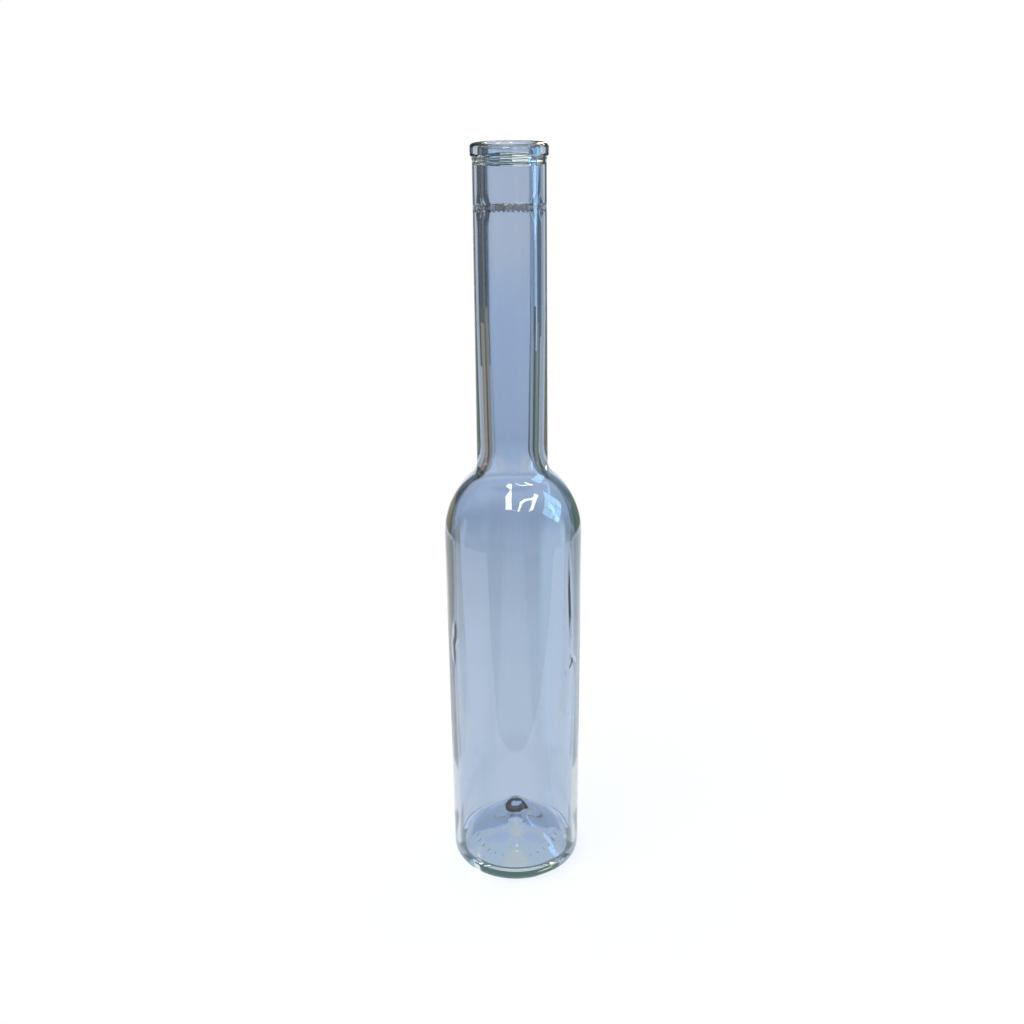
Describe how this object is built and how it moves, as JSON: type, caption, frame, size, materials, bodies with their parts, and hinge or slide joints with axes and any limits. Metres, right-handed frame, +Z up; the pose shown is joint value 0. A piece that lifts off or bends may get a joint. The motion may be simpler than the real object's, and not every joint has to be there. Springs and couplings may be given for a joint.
{
  "type": "long neck glass bottle",
  "caption": "Clear one-piece glass bottle: slim cylindrical body, rounded shoulder, long neck, ringed mouth for a cork stopper, and a conical push-up base.",
  "frame": {"origin": "centre of the standing ring, on the bottle's axis, in the plane of the surface it stands on", "axes": "+Z up along the bottle's axis, out of the mouth; the body is round, so X and Y are free"},
  "size_m": [0.0574, 0.0574, 0.315],
  "materials": {
    "clear_glass": "clear moulded glass, glossy, faint blue-green tint where it is thick"
  },
  "bodies": {
    "root": {"glass_bottle": "clear_glass"}
  },
  "joints": []
}
